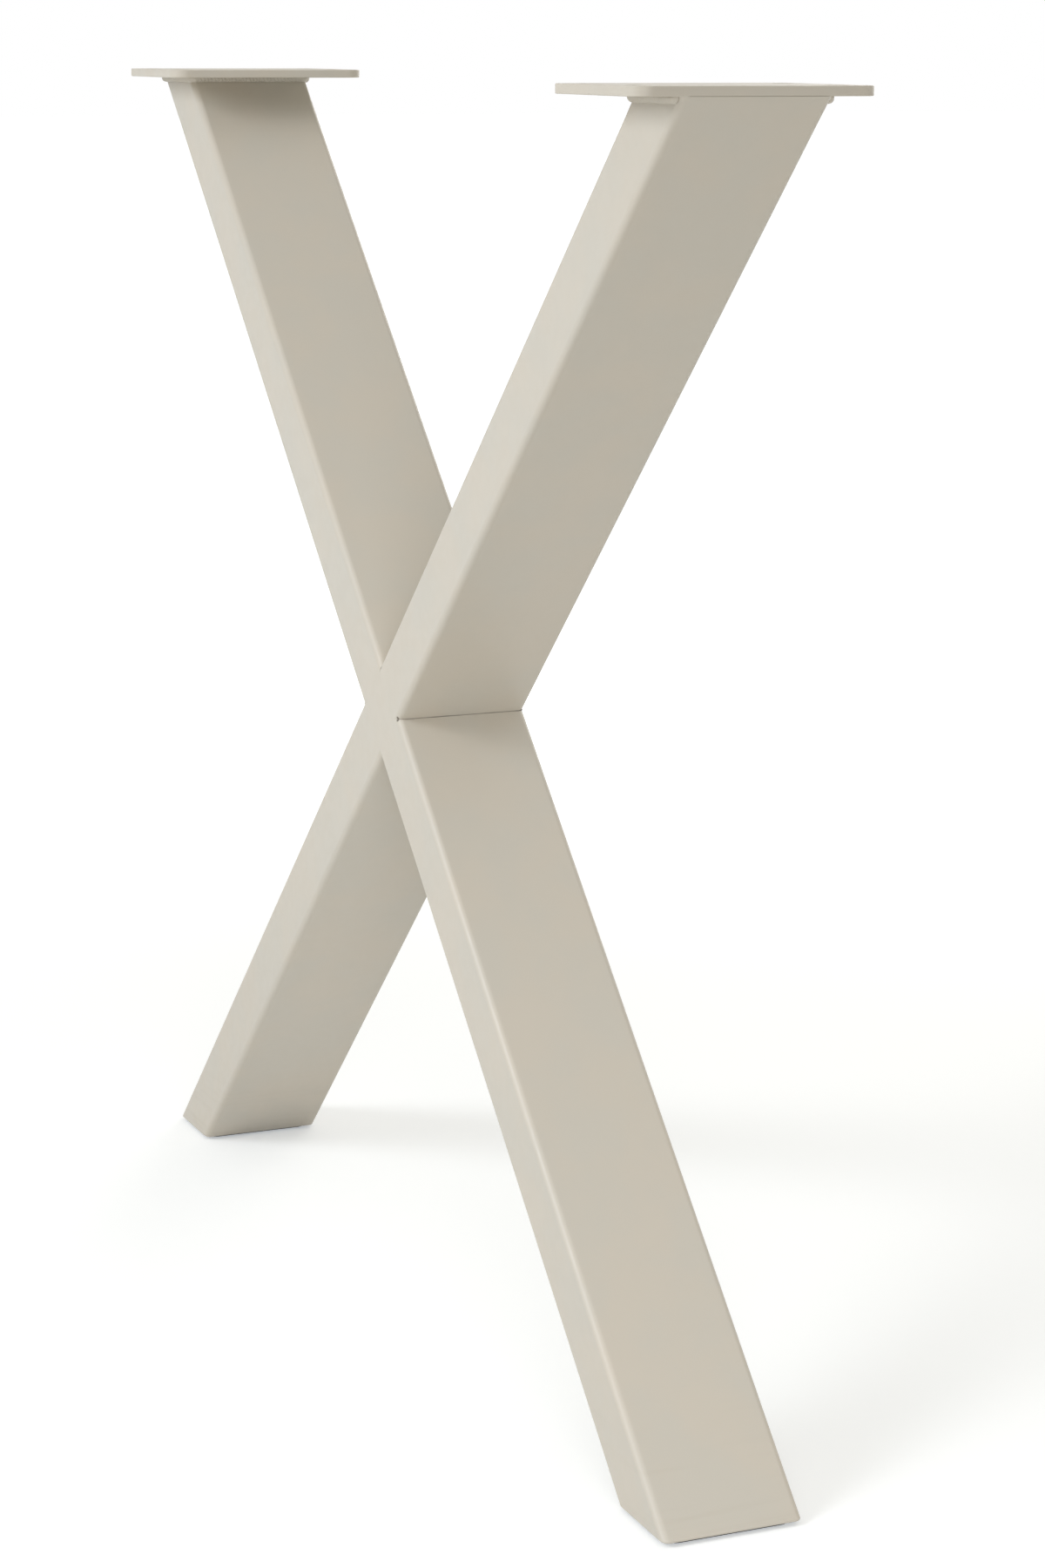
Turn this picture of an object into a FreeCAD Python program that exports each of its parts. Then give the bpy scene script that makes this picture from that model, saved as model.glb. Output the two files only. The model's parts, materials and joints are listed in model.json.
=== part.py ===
import FreeCAD, Part
import math
import os

import Sketcher

# An X shaped table leg welded from rectangular steel tube. One tube runs through from
# the left foot to the right top. Two half tubes meet it at the crossing, with their ends
# cut to its rounded outside, so that the narrow faces of all three lie flush. Plates
# close the tubes: mounting plates with screw slots on top, foot plates with glide pads
# below. X runs across the leg, Y through its depth, and Z = 0 is the floor.

# Driving dimensions in millimetres
DIMENSIONS = [
    ("overall_width", 800),
    ("overall_height", 730),
    ("tube_depth", 80),
    ("tube_thickness", 40),
    ("tube_wall", 2),
    ("tube_corner_radius", 4),
    ("joint_gap", 0.3),
    ("foot_plate_thickness", 3),
    ("foot_edge_radius", 0.8),
    ("pad_thickness", 2),
    ("pad_inset", 5),
    ("pad_corner_radius", 6),
    ("plate_thickness", 5),
    ("plate_length", 100),
    ("plate_corner_radius", 10),
    ("plate_edge_radius", 0.6),
    ("slot_width", 9),
    ("slot_length", 18),
    ("slot_spacing", 56),
    ("slot_to_tube", 13),
    ("slot_to_edge", 12),
]

# What follows from them. The bars reach from the pads to the mounting plates, and lean
# so far that their outer corners stand overall_width apart. The crossing is half way up.
DERIVED = [
    ("bar_height", "=overall_height - plate_thickness - pad_thickness"),
    ("bar_diagonal", "=sqrt(overall_width^2 + bar_height^2 - tube_thickness^2)"),
    ("lean", "=atan((overall_width * bar_height - tube_thickness * bar_diagonal)"
             " / (bar_height^2 - tube_thickness^2))"),
    ("cut_width", "=tube_thickness / cos(lean)"),
    ("crossing_height", "=pad_thickness + bar_height / 2"),
    ("bar_reach", "=bar_height / 2"),
    ("tube_reach_down", "=bar_reach - foot_plate_thickness"),
    ("former_thickness", "=tube_thickness + 2 * joint_gap"),
    ("slot_spacing_across", "=tube_depth + 2 * slot_to_tube"),
    ("plate_width", "=slot_spacing_across + 2 * slot_to_edge"),
    ("pad_length", "=cut_width - 2 * pad_inset"),
    ("pad_width", "=tube_depth - 2 * pad_inset"),
]

doc = FreeCAD.newDocument("x_table_leg")
sheet = doc.addObject("Spreadsheet::Sheet", "dims")
for row, (alias, content) in enumerate(DIMENSIONS + DERIVED, start=1):
    sheet.set(f"A{row}", alias)
    sheet.set(f"B{row}", str(content))
    sheet.setAlias(f"B{row}", alias)
doc.recompute()


def value(alias):
    """The number in a cell, an angle in degrees."""
    content = sheet.get(alias)
    return getattr(content, "Value", content)


LEAN = math.radians(value("lean"))
ORIGIN = (-1, 1)


# Sketches

def new_sketch(body, name, role):
    """An empty sketch on one of the body's own origin planes."""
    sketch = body.newObject("Sketcher::SketchObject", name)
    plane = next(feature for feature in body.Origin.OriginFeatures if feature.Role == role)
    sketch.AttachmentSupport = [(plane, "")]
    sketch.MapMode = "FlatFace"
    return sketch


def relate(sketch, *constraint):
    """Add a constraint that holds no number."""
    sketch.addConstraint(Sketcher.Constraint(*constraint))


def drive(sketch, name, expression, *constraint):
    """Add a dimension and bind it to the sheet."""
    index = sketch.addConstraint(Sketcher.Constraint(*constraint))
    sketch.renameConstraint(index, name)
    sketch.setExpression(f"Constraints.{name}", expression)


def draw_outline(sketch, corners):
    """Straight lines from corner to corner, closed."""
    points = [FreeCAD.Vector(across, up, 0) for across, up in corners]
    ends = points[1:] + points[:1]
    for start, end in zip(points, ends):
        sketch.addGeometry(Part.LineSegment(start, end))
    for line in range(len(points)):
        relate(sketch, "Coincident", line, 2, (line + 1) % len(points), 1)


def set_level(sketch, line, sign, alias):
    """Hold a level line above (+1) or below (-1) the origin."""
    ends = (*ORIGIN, line, 1) if sign > 0 else (line, 1, *ORIGIN)
    relate(sketch, "Horizontal", line)
    drive(sketch, f"level_{line}", f"dims.{alias}", "DistanceY", *ends, value(alias))


def set_sides(sketch, lean_sign, right, left, thickness):
    """Lean two parallel sides and hold each half a thickness from the origin."""
    slope = math.pi / 2 - lean_sign * LEAN
    drive(sketch, "bar_angle", f"90 deg - {lean_sign} * dims.lean", "Angle", right, slope)
    relate(sketch, "Parallel", right, left)
    for name, line in (("to_right", right), ("to_left", left)):
        drive(sketch, name, f"dims.{thickness} / 2", "Distance", *ORIGIN, line, value(thickness) / 2)


def draw_bar(sketch, lean_sign, bottom_level, top_level, thickness="tube_thickness"):
    """A bar seen from the front, cut level at both ends. The crossing is the origin."""
    half_cut = value(thickness) / math.cos(LEAN) / 2
    corners = []
    for (sign, alias), sides in ((bottom_level, (-1, 1)), (top_level, (1, -1))):
        up = sign * value(alias)
        middle = lean_sign * math.tan(LEAN) * up
        corners += [(middle + side * half_cut, up) for side in sides]
    draw_outline(sketch, corners)
    bottom, right, top, left = range(4)
    set_level(sketch, bottom, *bottom_level)
    set_level(sketch, top, *top_level)
    set_sides(sketch, lean_sign, right, left, thickness)


def draw_level_block(sketch, bottom_level, top_level, reach):
    """A level block that spans the leg and stands out past it on both sides."""
    across = value(reach)
    corners = []
    for (sign, alias), sides in ((bottom_level, (-1, 1)), (top_level, (1, -1))):
        corners += [(side * across, sign * value(alias)) for side in sides]
    draw_outline(sketch, corners)
    bottom, right, top, left = range(4)
    set_level(sketch, bottom, *bottom_level)
    set_level(sketch, top, *top_level)
    relate(sketch, "Vertical", right)
    relate(sketch, "Vertical", left)
    drive(sketch, "to_right", f"dims.{reach}", "DistanceX", *ORIGIN, right, 1, across)
    drive(sketch, "to_left", f"dims.{reach}", "DistanceX", left, 1, *ORIGIN, across)


def draw_half_bar(sketch, top_alias):
    """A bar that leans left from inside the through tube, where its corner rounding starts."""
    half = value("tube_thickness") / 2
    depth = half - value("tube_corner_radius")
    along = (-math.sin(LEAN), math.cos(LEAN))
    square = (math.cos(LEAN), math.sin(LEAN))

    def at(distance, side):
        return tuple(distance * a + side * half * s for a, s in zip(along, square))

    def at_end(side):
        return at((depth + side * half * math.cos(2 * LEAN)) / math.sin(2 * LEAN), side)

    def at_top(side):
        return at((value(top_alias) - side * half * math.sin(LEAN)) / math.cos(LEAN), side)

    draw_outline(sketch, [at_end(-1), at_end(1), at_top(1), at_top(-1)])
    end, right, top, left = range(4)
    set_level(sketch, top, 1, top_alias)
    set_sides(sketch, -1, right, left, "tube_thickness")
    drive(sketch, "end_angle", "90 deg - dims.lean", "Angle", end, math.pi / 2 - LEAN)
    drive(sketch, "end_depth", "dims.tube_thickness / 2 - dims.tube_corner_radius",
          "Distance", *ORIGIN, end, depth)


def draw_rounded_rectangle(sketch, length, width, radius):
    """A rectangle with round corners about the origin. The three sizes are aliases."""
    half_length = value(length) / 2
    half_width = value(width) / 2
    corner = value(radius)
    normal = FreeCAD.Vector(0, 0, 1)
    flat_x = half_length - corner
    flat_y = half_width - corner
    ends = [
        ((-flat_x, -half_width), (flat_x, -half_width)),
        ((half_length, -flat_y), (half_length, flat_y)),
        ((flat_x, half_width), (-flat_x, half_width)),
        ((-half_length, flat_y), (-half_length, -flat_y)),
    ]
    centres = [(flat_x, -flat_y), (flat_x, flat_y), (-flat_x, flat_y), (-flat_x, -flat_y)]
    for start, end in ends:
        sketch.addGeometry(Part.LineSegment(FreeCAD.Vector(*start, 0), FreeCAD.Vector(*end, 0)))
    for quarter, centre in enumerate(centres):
        circle = Part.Circle(FreeCAD.Vector(*centre, 0), normal, corner)
        start_angle = (quarter - 1) * math.pi / 2
        sketch.addGeometry(Part.ArcOfCircle(circle, start_angle, start_angle + math.pi / 2))
    front, right, back, left = range(4)
    arcs = range(4, 8)
    for side, arc in enumerate(arcs):
        relate(sketch, "Tangent", side, 2, arc, 1)
        relate(sketch, "Tangent", arc, 2, (side + 1) % 4, 1)
    for arc in arcs[1:]:
        relate(sketch, "Equal", arcs[0], arc)
    relate(sketch, "Symmetric", front, 1, front, 2, -2)
    relate(sketch, "Symmetric", left, 1, left, 2, -1)
    relate(sketch, "Horizontal", back)
    relate(sketch, "Vertical", right)
    drive(sketch, "corner", f"dims.{radius}", "Radius", arcs[0], corner)
    drive(sketch, "length", f"dims.{length}", "DistanceX", left, 1, right, 1, 2 * half_length)
    drive(sketch, "width", f"dims.{width}", "DistanceY", front, 1, back, 1, 2 * half_width)


def draw_slot(sketch, name, side_x, side_y):
    """One slot along X in the quarter of the plate that the two signs give."""
    radius = value("slot_width") / 2
    half_run = (value("slot_length") - value("slot_width")) / 2
    middle_x = side_x * value("slot_spacing") / 2
    middle_y = side_y * value("slot_spacing_across") / 2
    normal = FreeCAD.Vector(0, 0, 1)
    first = sketch.GeometryCount
    near, far, low, high = range(first, first + 4)
    for turn, centre_x in ((math.pi / 2, middle_x - half_run), (-math.pi / 2, middle_x + half_run)):
        circle = Part.Circle(FreeCAD.Vector(centre_x, middle_y, 0), normal, radius)
        sketch.addGeometry(Part.ArcOfCircle(circle, turn, turn + math.pi))
    for offset, way in ((-radius, 1), (radius, -1)):
        start = FreeCAD.Vector(middle_x - way * half_run, middle_y + offset, 0)
        end = FreeCAD.Vector(middle_x + way * half_run, middle_y + offset, 0)
        sketch.addGeometry(Part.LineSegment(start, end))
    relate(sketch, "Tangent", near, 2, low, 1)
    relate(sketch, "Tangent", low, 2, far, 1)
    relate(sketch, "Tangent", far, 2, high, 1)
    relate(sketch, "Tangent", high, 2, near, 1)
    relate(sketch, "Equal", near, far)
    relate(sketch, "Horizontal", low)
    drive(sketch, f"{name}_radius", "dims.slot_width / 2", "Radius", near, radius)
    drive(sketch, f"{name}_run", "dims.slot_length - dims.slot_width",
          "DistanceX", near, 3, far, 3, 2 * half_run)
    inner = far if side_x < 0 else near
    away = "dims.slot_spacing / 2 - (dims.slot_length - dims.slot_width) / 2"
    ends_x = (*ORIGIN, inner, 3) if side_x > 0 else (inner, 3, *ORIGIN)
    ends_y = (*ORIGIN, inner, 3) if side_y > 0 else (inner, 3, *ORIGIN)
    drive(sketch, f"{name}_x", away, "DistanceX", *ends_x, abs(middle_x) - half_run)
    drive(sketch, f"{name}_y", "dims.slot_spacing_across / 2", "DistanceY", *ends_y, abs(middle_y))


# Features

def pad(body, sketch, length, symmetric):
    """Pad a sketch by a length from the sheet, to one side or about its plane."""
    feature = body.newObject("PartDesign::Pad", f"{body.Name}_pad")
    feature.Profile = sketch
    feature.SideType = "Symmetric" if symmetric else "One side"
    feature.setExpression("Length", f"dims.{length}")
    doc.recompute()
    return feature


def pocket(body, sketch, length, symmetric):
    """Cut a sketch away by a length from the sheet, and make sure that it cuts."""
    before = body.Tip.Shape.Volume
    feature = body.newObject("PartDesign::Pocket", f"{sketch.Name}_cut")
    feature.Profile = sketch
    feature.SideType = "Symmetric" if symmetric else "One side"
    feature.Reversed = not symmetric
    feature.setExpression("Length", length)
    doc.recompute()
    if feature.Shape.Volume >= before:
        raise RuntimeError(f"{body.Label}: {sketch.Label} cuts nothing")
    return feature


def fillet(body, base, edges, radius, name):
    """Round the chosen edges by a radius from the sheet."""
    feature = body.newObject("PartDesign::Fillet", f"{body.Name}_{name}")
    feature.Base = (base, edges)
    feature.setExpression("Radius", f"dims.{radius}")
    doc.recompute()
    return feature


def hollow(body, base, open_faces):
    """Leave the tube's wall and open the ends."""
    feature = body.newObject("PartDesign::Thickness", f"{body.Name}_hollow")
    feature.Base = (base, open_faces)
    feature.Reversed = True
    feature.setExpression("Value", "dims.tube_wall")
    doc.recompute()
    return feature


def edges_along(shape, direction):
    """Names of the straight edges that run along a direction."""
    names = []
    for number, edge in enumerate(shape.Edges, start=1):
        straight = edge.Curve.TypeId == "Part::GeomLine"
        if straight and edge.tangentAt(edge.FirstParameter).cross(direction).Length < 1e-6:
            names.append(f"Edge{number}")
    return names


def faces_across(shape, direction):
    """Names of the flat faces that cut a bar running along a direction."""
    names = []
    for number, face in enumerate(shape.Faces, start=1):
        flat = face.Surface.TypeId == "Part::GeomPlane"
        if flat and abs(face.normalAt(0, 0).dot(direction)) > 1e-6:
            names.append(f"Face{number}")
    return names


def edges_at_level(shape, level):
    """Names of the edges that lie at one height."""
    names = []
    for number, edge in enumerate(shape.Edges, start=1):
        box = edge.BoundBox
        if abs(box.ZMin - level) < 1e-6 and abs(box.ZMax - level) < 1e-6:
            names.append(f"Edge{number}")
    return names


def bar_direction(lean_sign):
    return FreeCAD.Vector(lean_sign * math.sin(LEAN), 0, math.cos(LEAN))


# Bodies

def new_body(label, x=None, z=None):
    """A body placed across the leg and above the floor by two expressions."""
    body = doc.addObject("PartDesign::Body", label)
    body.Label = label
    for axis, expression in (("x", x), ("z", z)):
        if expression:
            body.setExpression(f"Placement.Base.{axis}", expression)
    return body


def rounded_bar(body, sketch, lean_sign):
    """Pad a bar's outline through the leg's depth and round its four long edges."""
    block = pad(body, sketch, "tube_depth", symmetric=True)
    long_edges = edges_along(block.Shape, bar_direction(lean_sign))
    return fillet(body, block, long_edges, "tube_corner_radius", "long_edges")


def make_through_tube():
    body = new_body("through_tube", z="dims.crossing_height")
    sketch = new_sketch(body, "through_tube_outline", "XZ_Plane")
    draw_bar(sketch, 1, (-1, "tube_reach_down"), (1, "bar_reach"))
    bar = rounded_bar(body, sketch, 1)
    hollow(body, bar, faces_across(bar.Shape, bar_direction(1)))
    return body


def make_cope_former():
    """The through tube's outside with the joint gap on its wide faces, to cut half tubes with."""
    body = new_body("cope_former", z="dims.crossing_height")
    sketch = new_sketch(body, "cope_former_outline", "XZ_Plane")
    draw_bar(sketch, 1, (-1, "bar_reach"), (1, "bar_reach"), "former_thickness")
    rounded_bar(body, sketch, 1)
    return body


def make_half_tube(label, top_alias, turn, former):
    """A half tube, made leaning left above the crossing and turned about it, coped to the former."""
    blank = new_body(f"{label}_blank", z="dims.crossing_height")
    blank.Placement.Rotation = FreeCAD.Rotation(FreeCAD.Vector(0, 1, 0), turn)
    sketch = new_sketch(blank, f"{label}_outline", "XZ_Plane")
    draw_half_bar(sketch, top_alias)
    bar = rounded_bar(blank, sketch, -1)
    hollow(blank, bar, faces_across(bar.Shape, bar_direction(-1)))
    tube = doc.addObject("Part::Cut", label)
    tube.Label = label
    tube.Base = blank
    tube.Tool = former
    doc.recompute()
    return tube


def make_foot_plate(label, lean_sign):
    """The last slice of a bar, below the tube, with its lower edge rounded."""
    body = new_body(label, z="dims.crossing_height")
    outline = new_sketch(body, f"{label}_outline", "XZ_Plane")
    draw_bar(outline, lean_sign, (-1, "bar_reach"), (1, "bar_reach"))
    rounded_bar(body, outline, lean_sign)
    tube_space = new_sketch(body, f"{label}_tube_space", "XZ_Plane")
    draw_level_block(tube_space, (-1, "tube_reach_down"), (1, "bar_height"), "overall_width")
    last_slice = pocket(body, tube_space, "2 * dims.tube_depth", symmetric=True)
    floor_edges = edges_at_level(last_slice.Shape, -value("bar_reach"))
    fillet(body, last_slice, floor_edges, "foot_edge_radius", "floor_edges")
    return body


def make_glide_pad(label, side):
    body = new_body(label, x=f"{side} * (dims.overall_width - dims.cut_width) / 2")
    sketch = new_sketch(body, f"{label}_outline", "XY_Plane")
    draw_rounded_rectangle(sketch, "pad_length", "pad_width", "pad_corner_radius")
    pad(body, sketch, "pad_thickness", symmetric=False)
    return body


def make_mounting_plate(label, side):
    """A plate flush with the tube's outer corner, with screw slots on both sides of the tube."""
    body = new_body(label, x=f"{side} * (dims.overall_width - dims.plate_length) / 2",
                    z="dims.overall_height - dims.plate_thickness")
    sketch = new_sketch(body, f"{label}_outline", "XY_Plane")
    draw_rounded_rectangle(sketch, "plate_length", "plate_width", "plate_corner_radius")
    blank = pad(body, sketch, "plate_thickness", symmetric=False)
    rim = edges_at_level(blank.Shape, 0) + edges_at_level(blank.Shape, value("plate_thickness"))
    fillet(body, blank, rim, "plate_edge_radius", "rim")
    slots = new_sketch(body, f"{label}_slots", "XY_Plane")
    for number, (side_x, side_y) in enumerate([(-1, -1), (1, -1), (1, 1), (-1, 1)], start=1):
        draw_slot(slots, f"slot_{number}", side_x, side_y)
    pocket(body, slots, "dims.plate_thickness", symmetric=False)
    return body


cope_former = make_cope_former()
sub_parts = [
    make_through_tube(),
    make_half_tube("upper_half_tube", "bar_reach", 0, cope_former),
    make_half_tube("lower_half_tube", "tube_reach_down", 180, cope_former),
    make_mounting_plate("left_mounting_plate", -1),
    make_mounting_plate("right_mounting_plate", 1),
    make_foot_plate("left_foot_plate", 1),
    make_foot_plate("right_foot_plate", -1),
    make_glide_pad("left_glide_pad", -1),
    make_glide_pad("right_glide_pad", 1),
]
doc.recompute()

# Check the document, then write one file for each sub-part
for item in doc.Objects:
    if "Invalid" in item.State or "Error" in item.State:
        raise RuntimeError(f"{item.Label} failed: {item.State}")
for item in sub_parts:
    if item.Shape.isNull() or not item.Shape.isValid() or len(item.Shape.Solids) != 1:
        raise RuntimeError(f"{item.Label} is not one valid solid")

os.makedirs("parts", exist_ok=True)
for item in sub_parts:
    item.Shape.exportStep(os.path.join("parts", f"{item.Label}.step"))
    box = item.Shape.optimalBoundingBox(False)
    print(f"{item.Label}: {item.Shape.Volume / 1000:.1f} cm3,"
          f" x {box.XMin:.2f} to {box.XMax:.2f}, y {box.YMin:.2f} to {box.YMax:.2f},"
          f" z {box.ZMin:.2f} to {box.ZMax:.2f}")
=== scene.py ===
# %% [markdown]
# # An X shaped table leg in painted steel tube
#
# The leg is welded from rectangular tube and powder coated in a warm sand grey. Its solids
# come from the construction model at their real size, in metres, with the floor at Z = 0.
# They could be modelled again here, but then two shapes would have to agree, so this lesson
# keeps them as they are. It adds what a painter and a welder leave on them: the coat, the
# painted shade of the thin open joints at the crossing, the weld beads under the mounting
# plates and the felt under the feet.

# %% Load the imported leg
import json
import math

import bmesh
import bpy
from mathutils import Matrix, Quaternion, Vector, noise


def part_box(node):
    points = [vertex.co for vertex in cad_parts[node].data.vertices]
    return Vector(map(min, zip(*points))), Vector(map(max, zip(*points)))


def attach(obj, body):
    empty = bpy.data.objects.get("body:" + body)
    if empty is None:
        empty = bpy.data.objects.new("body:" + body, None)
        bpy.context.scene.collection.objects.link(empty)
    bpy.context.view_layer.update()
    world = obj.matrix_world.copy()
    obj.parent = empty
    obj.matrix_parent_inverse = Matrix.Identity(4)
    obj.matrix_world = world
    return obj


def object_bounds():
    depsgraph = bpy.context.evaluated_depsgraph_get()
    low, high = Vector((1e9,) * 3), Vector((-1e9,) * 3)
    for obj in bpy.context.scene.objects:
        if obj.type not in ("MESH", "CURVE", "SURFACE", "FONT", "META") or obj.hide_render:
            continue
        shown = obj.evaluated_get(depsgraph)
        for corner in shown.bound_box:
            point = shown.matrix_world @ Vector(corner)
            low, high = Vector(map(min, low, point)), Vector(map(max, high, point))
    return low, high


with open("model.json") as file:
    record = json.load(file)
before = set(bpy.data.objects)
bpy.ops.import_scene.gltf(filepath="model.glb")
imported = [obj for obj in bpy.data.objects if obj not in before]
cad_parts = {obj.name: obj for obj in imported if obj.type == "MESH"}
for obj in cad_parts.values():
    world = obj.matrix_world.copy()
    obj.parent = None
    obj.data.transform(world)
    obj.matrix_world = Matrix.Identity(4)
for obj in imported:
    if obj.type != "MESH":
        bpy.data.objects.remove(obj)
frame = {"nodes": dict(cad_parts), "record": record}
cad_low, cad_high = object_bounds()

print("nodes:", ", ".join(sorted(frame["nodes"])))
print("box in metres:", tuple(cad_low), "to", tuple(cad_high))

# %% [markdown]
# ## Where the tubes cross
#
# Seams, pits and beads lie along the lines where the tubes meet. Those lines could be picked
# off the mesh, but vertex numbers change with every new model. A few sizes of the leg give
# the same lines by trigonometry: two bars that lean the same way to either side cross in a
# diamond, whose four corners are the notches of the X.

# %% Measure the crossing
MM = 0.001
TUBE_THICKNESS = 40 * MM
TUBE_CORNER = 4 * MM

tube_low, tube_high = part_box("through_tube")
plate_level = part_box("right_mounting_plate")[0].z
foot_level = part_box("right_foot_plate")[0].z
leg_width = cad_high.x - cad_low.x
bar_height = plate_level - foot_level
half_depth = (tube_high.y - tube_low.y) / 2
bar_diagonal = math.sqrt(leg_width ** 2 + bar_height ** 2 - TUBE_THICKNESS ** 2)
lean = math.atan((leg_width * bar_height - TUBE_THICKNESS * bar_diagonal)
                 / (bar_height ** 2 - TUBE_THICKNESS ** 2))
crossing_height = (plate_level + foot_level) / 2
notch_out = TUBE_THICKNESS / 2 / math.cos(lean)
print(f"the bars lean {math.degrees(lean):.2f} degrees and cross at {crossing_height / MM:.1f} mm")
print(f"the side notches are {notch_out / MM:.2f} mm off the middle")

# %% [markdown]
# ## Small helpers for node materials
#
# A material is a network of nodes. It could be wired by hand in the editor, but a script has
# to name every node and link, and that soon hides the idea. A few helpers keep it readable:
# they fill a socket, add a node, do a sum, measure a distance and ease one value into another.

# %% Node helpers
def feed(tree, socket, value):
    """Give a socket a constant, or link another node's output to it."""
    if isinstance(value, bpy.types.NodeSocket):
        tree.links.new(value, socket)
    else:
        socket.default_value = value


def add_node(tree, kind, title, sockets=None, **settings):
    """Add a titled node, with its settings and what its sockets take."""
    made = tree.nodes.new(kind)
    made.label = title
    for name, value in settings.items():
        setattr(made, name, value)
    for name, value in (sockets or {}).items():
        feed(tree, made.inputs[name], value)
    return made


def reckon(tree, title, operation, *values):
    """One sum of numbers or outputs."""
    made = add_node(tree, "ShaderNodeMath", title, operation=operation)
    for socket, value in zip(made.inputs, values):
        feed(tree, socket, value)
    return made.outputs[0]


def distance(tree, title, x, y, z):
    """The length of a vector given by its three parts."""
    parts = add_node(tree, "ShaderNodeCombineXYZ", title, {"X": x, "Y": y, "Z": z})
    made = add_node(tree, "ShaderNodeVectorMath", title, operation="LENGTH")
    feed(tree, made.inputs[0], parts.outputs[0])
    return made.outputs["Value"]


def soft_step(tree, title, value, start, end, low, high):
    """Ease from low to high while a value goes from start to end."""
    sockets = {"Value": value, "From Min": start, "From Max": end, "To Min": low, "To Max": high}
    made = add_node(tree, "ShaderNodeMapRange", title, sockets, interpolation_type="SMOOTHSTEP")
    return made.outputs[0]


helpers = (feed, add_node, reckon, distance, soft_step)
print("node helpers:", ", ".join(helper.__name__ for helper in helpers))

# %% [markdown]
# ## The joint lines at the crossing
#
# On the narrow faces the welds are ground flush and vanish under the coat. On the wide faces
# the half tubes only butt against the through tube, and the coat breaks there in an open joint.
# The gap itself is in the solids, but it is thinner than a hair, so the shade in it is
# painted: the coat's colour darkens by distance from the joint, as painted shade. The joint
# follows the tube's rounded corner, where the tube grows thinner along a quarter circle.

# %% Where the joints run
JOINT_LINE = (0.12 * MM, 0.60 * MM)

flat_half = TUBE_THICKNESS / 2 - TUBE_CORNER
flat_depth = half_depth - TUBE_CORNER


def corner_bend(tree, off_y):
    """How far a point lies in the tube's rounded corner, or 0 on the flat."""
    past_flat = reckon(tree, "past the flat", "SUBTRACT", off_y, flat_depth)
    return reckon(tree, "into the corner", "MAXIMUM", past_flat, 0.0)


def joint_line(tree, off_x, off_z, bend):
    """Painted shade of the joint: 1 on a joint between the tubes, and 0 beside it."""
    square = reckon(tree, "square", "MULTIPLY", bend, bend)
    rest = reckon(tree, "rest", "SUBTRACT", TUBE_CORNER ** 2, square)
    corner_left = reckon(tree, "left of the corner", "SQRT", rest)
    half = reckon(tree, "half thickness here", "ADD", corner_left, flat_half)
    side_notch = reckon(tree, "side notch", "DIVIDE", half, math.cos(lean))
    top_notch = reckon(tree, "top notch", "DIVIDE", half, math.sin(lean))
    past_side = reckon(tree, "past the side notch", "SUBTRACT", off_x, side_notch)
    past_top = reckon(tree, "past the top notch", "SUBTRACT", off_z, top_notch)
    to_side = distance(tree, "to the side joints", past_side, 0.0, off_z)
    to_top = distance(tree, "to the top joints", off_x, 0.0, past_top)
    to_joint = reckon(tree, "to the joint", "MINIMUM", to_side, to_top)
    return soft_step(tree, "joint line", to_joint, *JOINT_LINE, 1.0, 0.0)


print(f"joints are dark for {JOINT_LINE[0] / MM:.2f} mm and fade by {JOINT_LINE[1] / MM:.2f} mm")

# %% [markdown]
# ## Where the coat bridges a joint
#
# The painted shade of the joint comes and goes, because melted powder bridges the gap in places.
# It is weaker in front, where the powder lies thicker, and ends short of the ground faces. A mask could be
# painted by hand, but noise and two soft steps say the same in numbers that can be changed.

# %% How much of a joint shows
BRIDGE_WAVES = 48.0
BRIDGE_RANGE = (0.42, 0.58)
BRIDGED_LEAST = 0.2
FRONT_POWDER = (0 * MM, 14 * MM)
FRONT_SHARE = 0.45
GROUND_CORNER = (0.70 * TUBE_CORNER, 0.90 * TUBE_CORNER)


def grain(tree, title, where, waves, detail=2.0):
    """Cloudy noise, with so many waves to the metre."""
    sockets = {"Vector": where, "Scale": waves, "Detail": detail}
    return add_node(tree, "ShaderNodeTexNoise", title, sockets).outputs[0]


def bare_share(tree, where, y, bend):
    """How much of a joint shows through the coat."""
    bridging = grain(tree, "coat bridging", where, BRIDGE_WAVES)
    open_share = soft_step(tree, "comes and goes", bridging, *BRIDGE_RANGE, BRIDGED_LEAST, 1.0)
    thinner_coat = soft_step(tree, "thicker powder in front", y, *FRONT_POWDER, FRONT_SHARE, 1.0)
    ground = soft_step(tree, "ground flush", bend, *GROUND_CORNER, 1.0, 0.0)
    uneven = reckon(tree, "uneven", "MULTIPLY", open_share, thinner_coat)
    return reckon(tree, "bare share", "MULTIPLY", uneven, ground)


print(f"joints are weaker up to {FRONT_POWDER[1] / MM:.0f} mm behind the middle")

# %% [markdown]
# ## The pits at the notches
#
# Where a side joint turns round the tube's corner, it ends in two small pits, one over the
# other. They are about a millimetre wide, so their shade is painted as the joint's is, by distance.

# %% Paint the shade in the pits
PIT_REACH = (0.5 * MM, 1.3 * MM)
PIT_TURN = math.radians(42)
PIT_RISE = 0.8 * MM
PIT_DARK = 0.9


def round_corner(turn):
    """Where the side joints are on the tube's corner: how far out, and how deep."""
    out = (flat_half + TUBE_CORNER * math.sin(turn)) / math.cos(lean)
    return out, flat_depth + TUBE_CORNER * math.cos(turn)


pit_out, pit_deep = round_corner(PIT_TURN)


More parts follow.
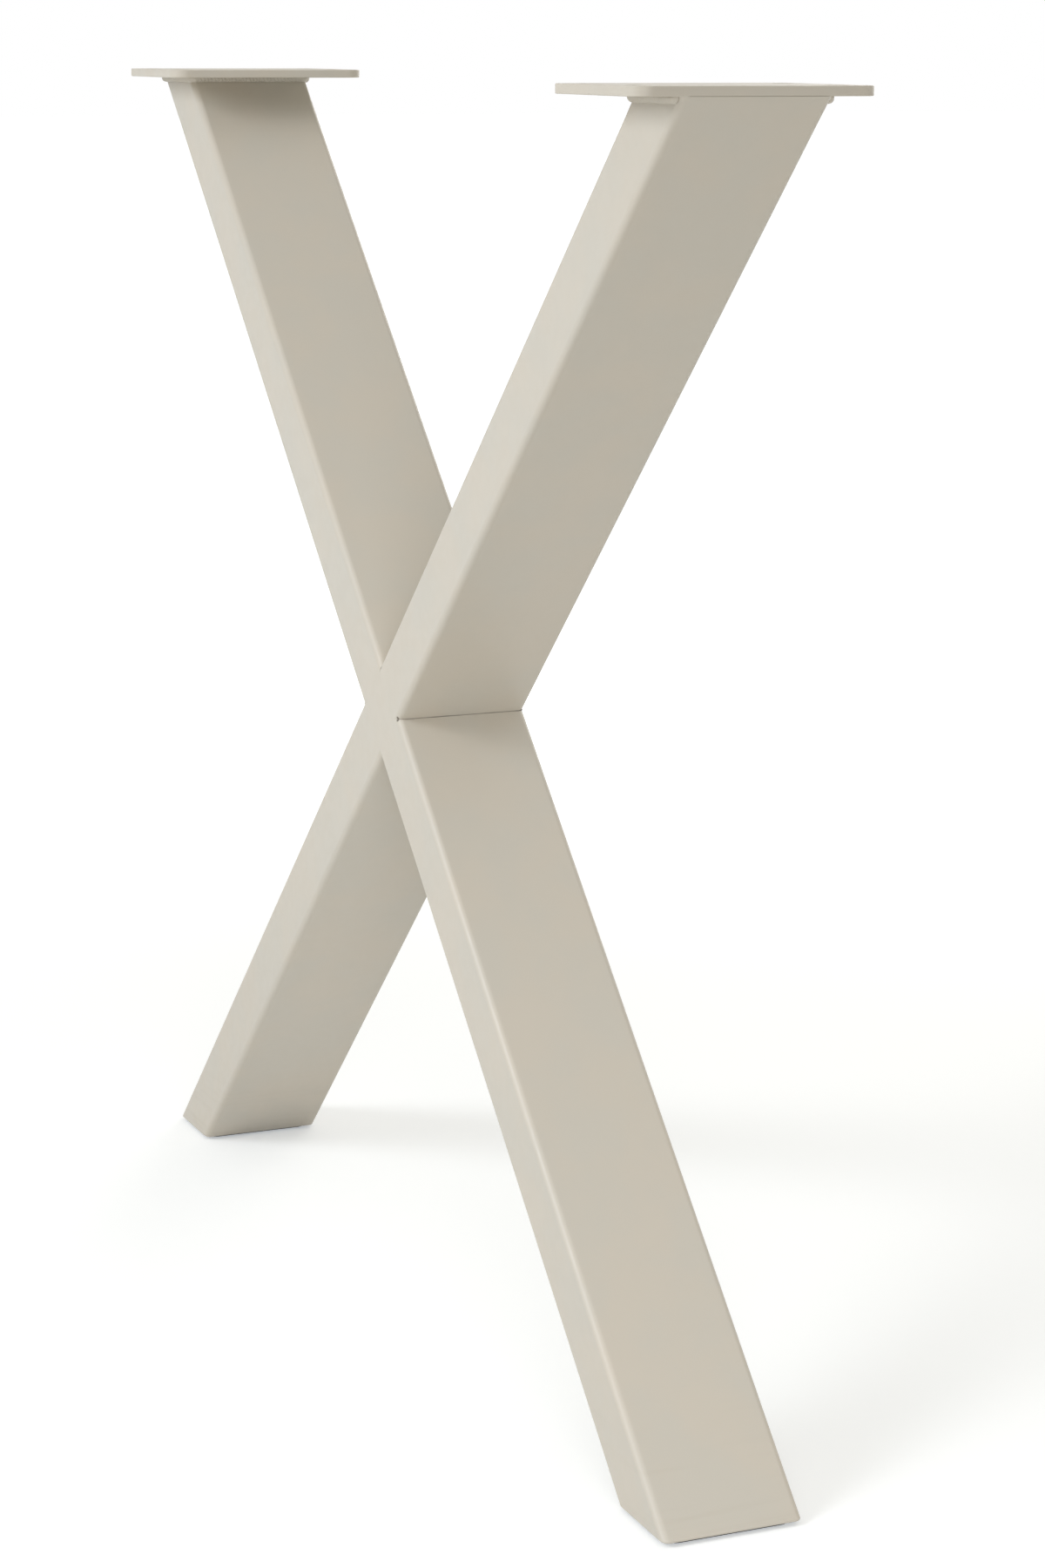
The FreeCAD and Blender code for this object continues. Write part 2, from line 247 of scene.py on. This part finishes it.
def painted_pit_shade(tree, off_x, off_y, off_z):
    """The painted shade of the pits at all four side notches."""
    past_x = reckon(tree, "past the pits", "SUBTRACT", off_x, pit_out)
    past_y = reckon(tree, "beside the pits", "SUBTRACT", off_y, pit_deep)
    past_z = reckon(tree, "above and below", "SUBTRACT", off_z, PIT_RISE)
    to_pit = distance(tree, "to the pits", past_x, past_y, past_z)
    return soft_step(tree, "pits", to_pit, *PIT_REACH, PIT_DARK, 0.0)


def painted_joint_shade(tree, where):
    """How much painted shade the joints and pits take: 1 in an open joint, 0 on whole paint."""
    x, y, z = add_node(tree, "ShaderNodeSeparateXYZ", "place", {"Vector": where}).outputs
    off_x = reckon(tree, "off the middle", "ABSOLUTE", x)
    off_y = reckon(tree, "off the middle", "ABSOLUTE", y)
    rise = reckon(tree, "above the crossing", "SUBTRACT", z, crossing_height)
    off_z = reckon(tree, "off the crossing", "ABSOLUTE", rise)
    bend = corner_bend(tree, off_y)
    line = joint_line(tree, off_x, off_z, bend)
    share = bare_share(tree, where, y, bend)
    shown_line = reckon(tree, "shown line", "MULTIPLY", line, share)
    pits = painted_pit_shade(tree, off_x, off_y, off_z)
    return reckon(tree, "painted joint shade", "MAXIMUM", shown_line, pits)


print(f"pits {pit_out / MM:.1f} mm out and {pit_deep / MM:.1f} mm deep at the side notches")

# %% [markdown]
# ## Scuffed feet
#
# Feet are pushed over floors, and that leaves weak level scuffs. Noise stretched along the
# floor and squeezed in height gives such streaks, and they fade out above the feet.

# %% Draw the scuffs
STREAK_WAVES = (9, 9, 240)
STREAK_DETAIL = 3.0
STREAK_RANGE = (0.52, 0.72)
STREAK_SHARE = 0.28
SCUFF_HEIGHT = (8 * MM, 75 * MM)


def foot_scuffs(tree, where):
    """Weak level streaks near the floor."""
    level = add_node(tree, "ShaderNodeMapping", "level streaks", {"Vector": where, "Scale": STREAK_WAVES})
    rubbed = grain(tree, "rubbed", level.outputs[0], waves=1.0, detail=STREAK_DETAIL)
    streaks = soft_step(tree, "streaks", rubbed, *STREAK_RANGE, 0.0, STREAK_SHARE)
    height = add_node(tree, "ShaderNodeSeparateXYZ", "height", {"Vector": where}).outputs["Z"]
    near_floor = soft_step(tree, "near the floor", height, *SCUFF_HEIGHT, 1.0, 0.0)
    return reckon(tree, "scuffs", "MULTIPLY", streaks, near_floor)


print(f"scuffs fade out {SCUFF_HEIGHT[1] / MM:.0f} mm above the floor")

# %% [markdown]
# ## The tone of the coat
#
# Powder is sprayed on dry and melts into one skin. A flat colour would look like plastic, so
# the tone drifts a little over a few centimetres, as powder does where it lies thicker. It
# reads the place of a point in metres, so the pattern runs on from one tube to the next. The
# scuffs and the painted shade of the joints and pits are then mixed in, each by its own share.

# %% Tone the coat
WARM_SAND = (0.640, 0.594, 0.512, 1.0)
COOL_SAND = (0.622, 0.590, 0.518, 1.0)
SCUFFED_SAND = (0.560, 0.515, 0.435, 1.0)
# the painted shade in the open joints and pits at the crossing
JOINT_SHADE = (0.110, 0.088, 0.064, 1.0)
CLOUD_WAVES, CLOUD_DETAIL = 22.0, 4.0
CLOUD_RANGE = (0.35, 0.65)


def blend_colours(tree, title, share, first, second):
    """Mix two colours by a share."""
    made = add_node(tree, "ShaderNodeMix", title, data_type="RGBA")
    colour_inputs = [socket for socket in made.inputs if socket.type == "RGBA"]
    feed(tree, made.inputs[0], share)
    feed(tree, colour_inputs[0], first)
    feed(tree, colour_inputs[1], second)
    return next(socket for socket in made.outputs if socket.type == "RGBA")


def coat_colour(tree, where):
    """Drifting sand grey, rubbed at the feet, with painted shade in the joints and pits."""
    cloud = grain(tree, "powder cloud", where, CLOUD_WAVES, CLOUD_DETAIL)
    drift = soft_step(tree, "tone drift", cloud, *CLOUD_RANGE, 0.0, 1.0)
    sand = blend_colours(tree, "sand", drift, WARM_SAND, COOL_SAND)
    rubbed = blend_colours(tree, "rubbed sand", foot_scuffs(tree, where), sand, SCUFFED_SAND)
    return blend_colours(tree, "coat", painted_joint_shade(tree, where), rubbed, JOINT_SHADE)


print(f"the tone drifts over about {1 / CLOUD_WAVES / MM:.0f} mm")

# %% [markdown]
# ## The skin of the coat
#
# Melted powder sets to a satin skin with a faint orange peel about two millimetres wide, and a
# finer grain on it. Both could be modelled, but they are only hundredths of a millimetre high,
# so a bump in the shader is enough. The shader is Blender's Principled one, which has a socket
# for each property of a plain finish.

# %% Mix the powder coat
MELT_WAVES, MELT_DETAIL = 160.0, 3.0
MELT_RANGE = (0.3, 0.7)
SATIN = (0.38, 0.46)
PEEL_WAVES, PEEL_DETAIL = 480.0, 1.0
PEEL_STRENGTH, PEEL_HEIGHT = 0.30, 0.05 * MM
POWDER_WAVES = 2600.0
POWDER_STRENGTH, POWDER_HEIGHT = 0.20, 0.015 * MM


def new_material(name):
    """A material with its network, its shader and the place of each point in metres."""
    material = bpy.data.materials.new(name)
    material.use_nodes = True
    tree = material.node_tree
    shader = next(node for node in tree.nodes if node.type == "BSDF_PRINCIPLED")
    where = add_node(tree, "ShaderNodeTexCoord", "place").outputs["Object"]
    return material, tree, shader, where


def coat_skin(tree, where):
    """Orange peel with a finer grain of powder on it."""
    peel = add_node(tree, "ShaderNodeBump", "orange peel", {
        "Height": grain(tree, "peel", where, PEEL_WAVES, PEEL_DETAIL),
        "Strength": PEEL_STRENGTH, "Distance": PEEL_HEIGHT})
    powder = add_node(tree, "ShaderNodeBump", "powder grain", {
        "Height": grain(tree, "powder", where, POWDER_WAVES),
        "Strength": POWDER_STRENGTH, "Distance": POWDER_HEIGHT, "Normal": peel.outputs[0]})
    return powder.outputs[0]


def mix_powder_coat():
    """The satin sand grey coat of all the steel."""
    material, tree, shader, where = new_material("sand_powder_coat")
    melt = grain(tree, "melt", where, MELT_WAVES, MELT_DETAIL)
    feed(tree, shader.inputs["Base Color"], coat_colour(tree, where))
    feed(tree, shader.inputs["Roughness"], soft_step(tree, "satin", melt, *MELT_RANGE, *SATIN))
    feed(tree, shader.inputs["Normal"], coat_skin(tree, where))
    return material


sand_powder_coat = mix_powder_coat()
print("mixed", sand_powder_coat.name, "with", len(sand_powder_coat.node_tree.nodes), "nodes")

# %% [markdown]
# ## The felt pads
#
# Thin pads of pressed felt are stuck under the feet, and only their dark edges show. Felt is
# a tangle of short fibres, which a weave pattern would get wrong. Noise squeezed in height
# looks like pressed fibres from the side, and a little sheen gives the fuzz at the edges.

# %% Mix the felt
FELT_DARK = (0.030, 0.028, 0.026, 1.0)
FELT_PALE = (0.085, 0.081, 0.075, 1.0)
FELT_SQUEEZE = (1, 1, 2.5)
FIBRE_WAVES, FIBRE_DETAIL = 1900.0, 5.0
TUFT_WAVES, TUFT_DETAIL = 260.0, 3.0
FIBRE_SHARE, TUFT_SHARE = 0.7, 0.3
TANGLE_RANGE = (0.32, 0.68)
FUZZ_STRENGTH, FUZZ_HEIGHT = 0.8, 0.3 * MM
FELT_ROUGHNESS = 0.95
FELT_SHEEN, SHEEN_ROUGHNESS = 0.25, 0.5


def felt_tangle(tree, where):
    """Pressed fibres with larger tufts among them."""
    pressed = add_node(tree, "ShaderNodeMapping", "pressed flat", {"Vector": where, "Scale": FELT_SQUEEZE})
    fibres = grain(tree, "fibres", pressed.outputs[0], FIBRE_WAVES, FIBRE_DETAIL)
    tufts = grain(tree, "tufts", where, TUFT_WAVES, TUFT_DETAIL)
    tuft_part = reckon(tree, "tuft part", "MULTIPLY", tufts, TUFT_SHARE)
    return reckon(tree, "tangle", "MULTIPLY_ADD", fibres, FIBRE_SHARE, tuft_part)


def mix_felt():
    """Dark grey pressed felt."""
    material, tree, shader, where = new_material("dark_felt")
    tangle = felt_tangle(tree, where)
    tone = soft_step(tree, "fibre tone", tangle, *TANGLE_RANGE, 0.0, 1.0)
    fuzz = add_node(tree, "ShaderNodeBump", "fuzz", {
        "Height": tangle, "Strength": FUZZ_STRENGTH, "Distance": FUZZ_HEIGHT})
    feed(tree, shader.inputs["Base Color"], blend_colours(tree, "felt", tone, FELT_DARK, FELT_PALE))
    feed(tree, shader.inputs["Normal"], fuzz.outputs[0])
    shader.inputs["Roughness"].default_value = FELT_ROUGHNESS
    shader.inputs["Sheen Weight"].default_value = FELT_SHEEN
    shader.inputs["Sheen Roughness"].default_value = SHEEN_ROUGHNESS
    return material


dark_felt = mix_felt()
print("mixed", dark_felt.name, "with", len(dark_felt.node_tree.nodes), "nodes")

# %% [markdown]
# ## Coat the solids
#
# The record says which finish each solid takes, so a loop over it is safer than a list
# written here a second time.

# %% Assign the finishes
finishes = {"powder_coat": sand_powder_coat, "felt": dark_felt}
for subpart in frame["record"]["subparts"]:
    solid = frame["nodes"][subpart["node"]]
    finish = finishes[subpart["material_slot"]]
    solid.data.materials.clear()
    solid.data.materials.append(finish)
    print(subpart["node"], "is finished in", finish.name)

# %% [markdown]
# ## Weld beads under the mounting plates
#
# Each plate is welded to its tube on three sides. On the fourth, the tube's outer corner ends
# flush with the plate's edge, and the weld is ground off. The bead's way could be traced along
# the mesh's edges, but the tube's sizes give it directly: straight runs on three sides, with
# quarter turns round the tube's corners between them.

# %% The bead's way round the tube
WELD_STEP = 0.4 * MM
WELD_STOP = 5 * MM
QUARTER_STEPS = 12


def straight_run(start, end, out):
    """Points from start to end, each with the way that faces off the tube."""
    count = round((end - start).length / WELD_STEP)
    return [(start.lerp(end, step / count), out) for step in range(count + 1)]


def way_round_tube(side):
    """The corner between tube and plate, from the plate's edge round the inside and back."""
    edge = leg_width / 2 - WELD_STOP
    inner = leg_width / 2 - 2 * notch_out
    wide_corner = TUBE_CORNER / math.cos(lean)
    bend = Vector((inner + wide_corner, half_depth - TUBE_CORNER, plate_level))

    def quarter(step, turn_y):
        angle = math.radians(90) * step / QUARTER_STEPS
        out = Vector((-math.sin(angle), turn_y * math.cos(angle), 0))
        place_x = bend.x + out.x * wide_corner
        place_y = turn_y * bend.y + out.y * TUBE_CORNER
        return Vector((place_x, place_y, plate_level)), out

    front = straight_run(Vector((edge, -half_depth, plate_level)),
                         Vector((bend.x, -half_depth, plate_level)), Vector((0, -1, 0)))
    inside = straight_run(Vector((inner, -bend.y, plate_level)),
                          Vector((inner, bend.y, plate_level)), Vector((-1, 0, 0)))
    back = [(Vector((place.x, -place.y, place.z)), -out) for place, out in reversed(front)]
    front_bend = [quarter(step, -1) for step in range(1, QUARTER_STEPS)]
    back_bend = [quarter(step, 1) for step in reversed(range(1, QUARTER_STEPS))]
    way = front + front_bend + inside + back_bend + back
    mirrored = Vector((side, 1, 1))
    return [(place * mirrored, out * mirrored) for place, out in way]


print("the weld goes round in", len(way_round_tube(1)), "steps")

# %% [markdown]
# ## The bead's section
#
# A round cord would do from afar, but a bead has a wedge's section that fills the corner, and
# scales from the torch's swing. The tube's narrow sides hang straight down from the plate, and
# its inner wide side slopes back under it. The section turns with them: it spans from the
# plate's way out to the way down the tube, and its front bulges on an arc between the two.

# %% Cut one section
WELD_ROOT = 0.6 * MM
WELD_SCALE = 2.4 * MM
SCALE_LIFT = 0.17
SCALE_LAG = 0.8
SWING_LENGTH = 9 * MM
SWING_SHARE = 0.08
SIDE_SEED = 5
FRONT_POINTS = 7


def weld_section(place, out, side, travel, leg):
    """One cut face of the bead: its root in the corner, and its front from plate to tube."""
    slope = Vector((-side * math.sin(lean), 0, -math.cos(lean)))
    down = Vector((0, 0, -1)).lerp(slope, out.x ** 2).normalized()
    root = place - (out + down).normalized() * WELD_ROOT
    front = []
    for point in range(FRONT_POINTS):
        share = point / (FRONT_POINTS - 1)
        bulge = math.sin(math.pi * share)
        lag = WELD_SCALE * SCALE_LAG * bulge
        scale = abs(math.sin(math.pi * (travel - lag) / WELD_SCALE))
        swing = noise.noise(Vector((travel / SWING_LENGTH, side * SIDE_SEED, share)))
        reach = leg * (1 + SCALE_LIFT * scale * bulge + SWING_SHARE * swing)
        front.append(place + out.slerp(down, share) * reach)
    return [root, *front]


print("a section has", FRONT_POINTS + 1, "points, and a scale every", WELD_SCALE / MM, "mm")

# %% [markdown]
# ## From a draft to a piece
#
# A bmesh is only a draft. To belong to the leg, it becomes a mesh object that is shaded
# smoothly, carries its coat and stays with the leg's one body. Blender lists what an extrusion
# makes in an order that changes from run to run. The piece would look the same, but no two
# runs could be compared, so its vertices and faces are first numbered by place.

# %% Finish a piece
def put_in_order(shape):
    """Number vertices and faces by their place, so that every run lists them alike."""
    for number, vert in enumerate(sorted(shape.verts, key=lambda vert: vert.co[:])):
        vert.index = number
    for number, face in enumerate(sorted(shape.faces, key=lambda face: face.calc_center_median()[:])):
        face.index = number
    shape.verts.sort()
    shape.faces.sort()


def finish_piece(name, shape, material, slot):
    """Turn a bmesh into a smooth piece that stays with the leg."""
    mesh = bpy.data.meshes.new(name)
    put_in_order(shape)
    for face in shape.faces:
        face.smooth = True
    shape.to_mesh(mesh)
    shape.free()
    mesh.materials.append(material)
    piece = bpy.data.objects.new(name, mesh)
    bpy.context.scene.collection.objects.link(piece)
    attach(piece, "root")
    print(f"{name} has {len(mesh.polygons)} faces")


print("drafts are finished by", finish_piece.__name__)

# %% [markdown]
# ## Grow the beads
#
# One cut face is extruded again and again round the tube, and each new face is set to its own
# section. An extrusion leaves the old face behind inside the bead, so that is deleted, and the
# bead stays one closed skin. Its ends are rounded, and it is larger on the sloping side.

# %% Extrude the beads
WELD_LEG = 3.6 * MM
SLOPE_EXTRA = 0.35
WELD_END = 3.5 * MM
END_LEAST = 0.2


def bead_sections(side):
    """All the cut faces along a bead's way."""
    way = way_round_tube(side)
    travel = 0.0
    sections = []
    for step, (place, out) in enumerate(way):
        travel += (place - way[step - 1][0]).length if step else 0.0
        end_share = min(1.0, min(step, len(way) - 1 - step) * WELD_STEP / WELD_END)
        round_end = max(END_LEAST, math.sqrt(1 - (1 - end_share) ** 2))
        leg = WELD_LEG * round_end * (1 + SLOPE_EXTRA * out.x ** 2)
        sections.append(weld_section(place, out, side, travel, leg))
    return sections


def lay_bead(name, side):
    """A weld bead grown face by face along its way."""
    sections = bead_sections(side)
    shape = bmesh.new()
    start = shape.faces.new([shape.verts.new(point) for point in sections[0]])
    face = start
    for section in sections[1:]:
        grown = bmesh.ops.extrude_face_region(shape, geom=[face])["geom"]
        if face is not start:
            bmesh.ops.delete(shape, geom=[face], context="FACES_ONLY")
        face = next(item for item in grown if isinstance(item, bmesh.types.BMFace))
        for vert, point in zip(face.verts, section):
            vert.co = point
    bmesh.ops.recalc_face_normals(shape, faces=shape.faces)
    finish_piece(name, shape, sand_powder_coat, "powder_coat")


lay_bead("left_plate_weld", -1)
lay_bead("right_plate_weld", 1)

# %% [markdown]
# ## The nibs at the notches
#
# Where a joint line turns round the tube's corner, a drop of filler stands between the two pits
# and the coat rounds it off. It is under two millimetres long. A sphere that noise swells and
# dents is enough, as long as it sits in the valley between the two tubes. Plain noise gives the
# same lumps on every run, while vector noise changes from run to run unless it is seeded.

# %% Set the nibs
NIB_RADIUS = 0.7 * MM
NIB_TURN = math.radians(38)
NIB_STRETCH = Vector((1.3, 0.8, 0.8))
NIB_LUMPS = 0.3

nib_out, nib_deep = round_corner(NIB_TURN)


def set_nibs(name):
    """One drop in each of the four side notches, as one piece."""
    shape = bmesh.new()
    for side_x in (-1, 1):
        for side_y in (-1, 1):
            place = Vector((side_x * nib_out, side_y * nib_deep, crossing_height))
            drop = bmesh.ops.create_icosphere(shape, subdivisions=3, radius=NIB_RADIUS)["verts"]
            for vert in drop:
                vert.co *= 1 + NIB_LUMPS * noise.noise(vert.co / NIB_RADIUS + place / MM)
            bmesh.ops.scale(shape, vec=NIB_STRETCH, verts=drop)
            bmesh.ops.translate(shape, vec=place, verts=drop)
    finish_piece(name, shape, sand_powder_coat, "powder_coat")


set_nibs("crossing_nibs")

# %% [markdown]
# ## A white floor
#
# The floor is white and plain. More light would bleach the leg as well, so instead the floor
# glows for the camera and for reflections only, by the Light Path node. The glow is weaker near
# the leg, where the lamps already whiten the floor, so there it keeps the leg's soft shadow.
# It is a little cool, because the air is a little warm and the floor should stay neutral.

# %% Lay the floor
FLOOR_HALF = 30.0
FLOOR_PAINT = (0.80, 0.80, 0.79, 1.0)
FLOOR_ROUGHNESS = 0.9
GLOW_TINT = (0.88, 0.94, 1.0, 1.0)
GLOW_NEAR, GLOW_FAR = 0.38, 0.80
GLOW_REACH = (0.6, 2.4)


def seen_rays(tree):
    """1 for what the camera sees directly, in reflections or through glass, and else 0."""
    rays = add_node(tree, "ShaderNodeLightPath", "rays").outputs
    seen = reckon(tree, "seen", "MAXIMUM", rays["Is Camera Ray"], rays["Is Glossy Ray"])
    return reckon(tree, "seen", "MAXIMUM", seen, rays["Is Transmission Ray"])


def mix_floor_paint():
    """White paint that glows for the eye."""
    material, tree, shader, where = new_material("white_floor")
    shader.inputs["Base Color"].default_value = FLOOR_PAINT
    shader.inputs["Roughness"].default_value = FLOOR_ROUGHNESS
    shader.inputs["Specular IOR Level"].default_value = 0.0
    shader.inputs["Emission Color"].default_value = GLOW_TINT
    away = add_node(tree, "ShaderNodeVectorMath", "away from the leg", operation="LENGTH")
    feed(tree, away.inputs[0], where)
    glow = soft_step(tree, "glow", away.outputs["Value"], *GLOW_REACH, GLOW_NEAR, GLOW_FAR)
    seen_glow = reckon(tree, "seen glow", "MULTIPLY", seen_rays(tree), glow)
    feed(tree, shader.inputs["Emission Strength"], seen_glow)
    return material


def lay_floor():
    """A plain pale floor."""
    shape = bmesh.new()
    bmesh.ops.create_grid(shape, x_segments=1, y_segments=1, size=FLOOR_HALF)
    mesh = bpy.data.meshes.new("floor")
    shape.to_mesh(mesh)
    shape.free()
    mesh.materials.append(mix_floor_paint())
    floor = bpy.data.objects.new("floor", mesh)
    bpy.context.scene.collection.objects.link(floor)
    return floor


print("laid", lay_floor().name)

# %% [markdown]
# ## The surroundings
#
# The world looks white to the camera and to reflections, as the floor does, and lights the leg
# at a plain level. It is lighter overhead than at the horizon, as in a studio with a white
# ceiling, and a little warm. A picture of a studio would do the same, but a plain change from
# the horizon to the top needs no picture.

# %% Light the surroundings
WHITE = (1.0, 1.0, 1.0, 1.0)
WARM_AIR = (1.0, 0.952, 0.858, 1.0)
SKY_LOW, SKY_HIGH = 0.22, 0.67


def light_surroundings():
    """A white backdrop that lights the leg softly, more from above than from the sides."""
    world = bpy.data.worlds.new("studio")
    bpy.context.scene.world = world
    world.use_nodes = True
    tree = world.node_tree
    background = next(node for node in tree.nodes if node.type == "BACKGROUND")
    seen = seen_rays(tree)
    feed(tree, background.inputs["Color"], blend_colours(tree, "air", seen, WARM_AIR, WHITE))
    way = add_node(tree, "ShaderNodeTexCoord", "direction").outputs["Generated"]
    up = add_node(tree, "ShaderNodeSeparateXYZ", "height", {"Vector": way}).outputs["Z"]
    sky = soft_step(tree, "sky", up, 0.0, 1.0, SKY_LOW, SKY_HIGH)
    feed(tree, background.inputs["Strength"], reckon(tree, "backdrop", "MAXIMUM", sky, seen))
    return world


print("lit", light_surroundings().name)

# %% [markdown]
# ## Soft lamps
#
# Three large lamps shape the leg. The main one stands high in front of the narrow faces, so they
# are the lightest. It draws a thin bright line on the rounded edges that face up, and the
# upper arm throws a soft wedge of shade on the lower one. The side lamp has a grid that narrows
# its beam to the near foot, so the wide face grows lighter towards the floor, and a weak lamp
# fills in the back. Watts say little about brightness, so each lamp is given the share of full
# white that it adds to a surface facing it where it aims. Blender gathers all of a lamp's watts
# in its beam, so a narrow one needs fewer.

# %% Set the lamps
MAIN_LAMP = Vector((0.10, -1.95, 1.50))
SIDE_LAMP = Vector((2.10, -0.65, 0.65))
BACK_LAMP = Vector((-1.50, 1.90, 1.30))
CROSSING = Vector((0, 0, crossing_height))
NEAR_FOOT = Vector((0.30, 0, 0.06))
OPEN_BEAM = math.radians(180)
GRID_BEAM = math.radians(60)


def set_lamp(name, place, aim, size, share, tint, beam):
    """A square soft lamp that faces its aim."""
    lamp = bpy.data.lights.new(name, "AREA")
    lamp.size = size
    lamp.color = tint
    lamp.spread = beam
    gathered = 1 - beam / 2 / math.tan(beam / 2)
    lamp.energy = share * math.pi ** 2 * (aim - place).length_squared * gathered
    holder = bpy.data.objects.new(name, lamp)
    holder.location = place
    holder.rotation_euler = (aim - place).to_track_quat("-Z", "Y").to_euler()
    bpy.context.scene.collection.objects.link(holder)
    print(f"{name}: {lamp.energy:.1f} W at {(aim - place).length:.2f} m")


set_lamp("main_lamp", MAIN_LAMP, CROSSING, size=0.8, share=0.42, tint=(0.96, 1.0, 1.06), beam=OPEN_BEAM)
set_lamp("side_lamp", SIDE_LAMP, NEAR_FOOT, size=0.8, share=0.44, tint=(1.0, 1.0, 1.03), beam=GRID_BEAM)
set_lamp("back_lamp", BACK_LAMP, CROSSING, size=1.6, share=0.22, tint=(1.0, 0.97, 0.91), beam=OPEN_BEAM)

# %% [markdown]
# ## The camera
#
# The view is from the near end of the leg, a little above its top and slightly downwards, with
# a long lens. Place, turn and lens were solved together from the leg's own edges. The image
# is 1200 x 1800 pixels, and Blender measures the lens against the long side of a 36 mm frame.

# %% Set the camera
IMAGE_HEIGHT = 1800
FOCAL_PIXELS = 4099.6
CAMERA_PLACE = Vector((1.9291, -0.7761, 0.7534))
VIEW_AZIMUTH = math.radians(66.784)
VIEW_PITCH = math.radians(11.861)
VIEW_ROLL = math.radians(0.232)

scene = bpy.context.scene
camera = bpy.data.cameras.new("camera")
camera.lens = FOCAL_PIXELS / IMAGE_HEIGHT * camera.sensor_width
viewer = bpy.data.objects.new("camera", camera)
viewer.rotation_mode = "QUATERNION"
level_view = Vector((-math.sin(VIEW_AZIMUTH), math.cos(VIEW_AZIMUTH), 0)) * math.cos(VIEW_PITCH)
view_way = level_view - Vector((0, 0, math.sin(VIEW_PITCH)))
viewer.rotation_quaternion = view_way.to_track_quat("-Z", "Y") @ Quaternion((0, 0, 1), VIEW_ROLL)
viewer.location = CAMERA_PLACE
scene.collection.objects.link(viewer)
scene.camera = viewer
scene.view_settings.view_transform = "Standard"
print(f"lens {camera.lens:.1f} mm")
